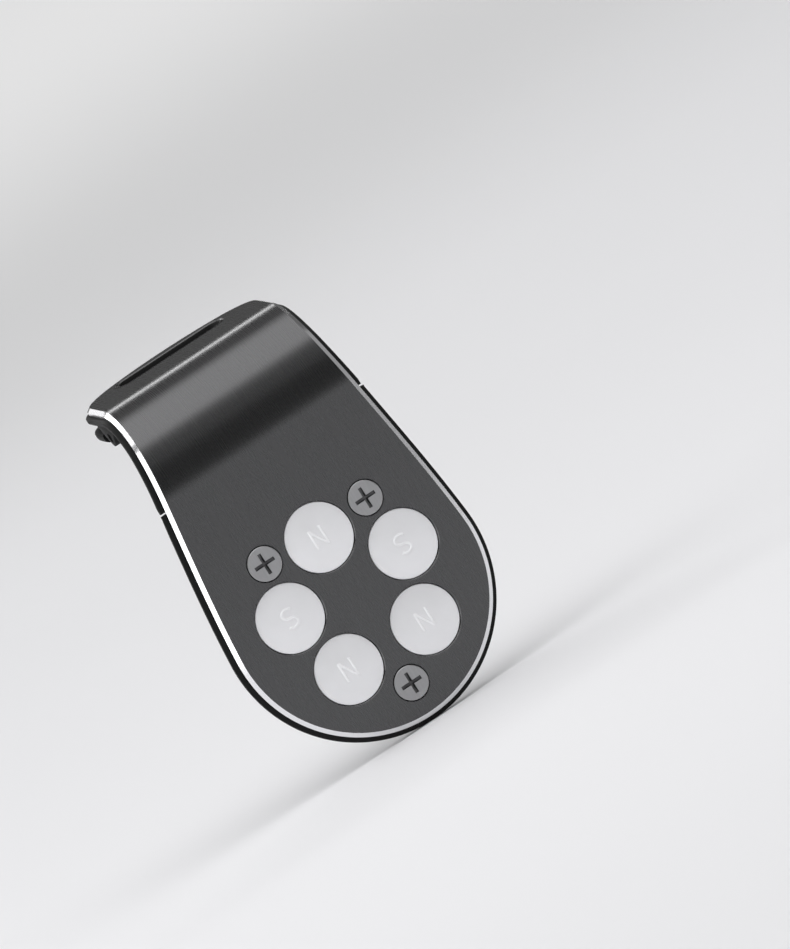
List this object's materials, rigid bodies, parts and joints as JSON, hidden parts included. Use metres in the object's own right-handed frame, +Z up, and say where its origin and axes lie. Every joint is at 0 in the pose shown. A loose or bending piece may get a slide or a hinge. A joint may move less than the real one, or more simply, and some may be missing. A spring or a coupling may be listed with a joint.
{
  "type": "magnetic vent phone holder",
  "caption": "Bent metal plate with a ring of flush round magnets, a top flange, a moulded back and a sprung clip that grips a vent blade.",
  "frame": {"origin": "the middle of the clip's mouth, between the two grip pads, where a vent blade holds the object", "axes": "+Z up along the plate, -Y out of the magnet face towards the phone, +X across the plate"},
  "size_m": [0.0404, 0.025, 0.0625],
  "materials": {
    "gunmetal_shell": "dark gunmetal, brushed along the plate, with a bright polished chamfer round its edge",
    "magnet_plating": "satin nickel plating",
    "screw_steel": "satin machined steel",
    "bare_steel": "plain rolled steel",
    "spring_steel": "drawn spring wire",
    "black_plastic": "fine moulded texture, satin black",
    "black_silicone": "matt silicone with grip ribs"
  },
  "bodies": {
    "holder": {"front_shell": "gunmetal_shell", "magnet_top": "magnet_plating", "magnet_right": "magnet_plating", "magnet_lower_right": "magnet_plating", "magnet_lower_left": "magnet_plating", "magnet_left": "magnet_plating", "face_screw_right": "screw_steel", "face_screw_left": "screw_steel", "face_screw_bottom": "screw_steel", "yoke_plate": "bare_steel", "back_cover": "black_plastic", "clip_housing": "black_plastic", "upper_grip_pad": "black_silicone", "hinge_pin": "bare_steel", "spring_left": "spring_steel", "spring_right": "spring_steel"},
    "jaw": {"lower_jaw": "black_plastic", "lower_grip_pad": "black_silicone"}
  },
  "joints": [
    {"name": "jaw_hinge", "type": "hinge", "parent": "holder", "child": "jaw", "pos_m": [0, -0.0078, -0.00193], "axis": [-1, 0, 0], "range_deg": [0, 25], "stiffness_Nm_per_rad": 0.05, "springref_deg": -34.38, "deforming": ["spring_left", "spring_right"]}
  ]
}
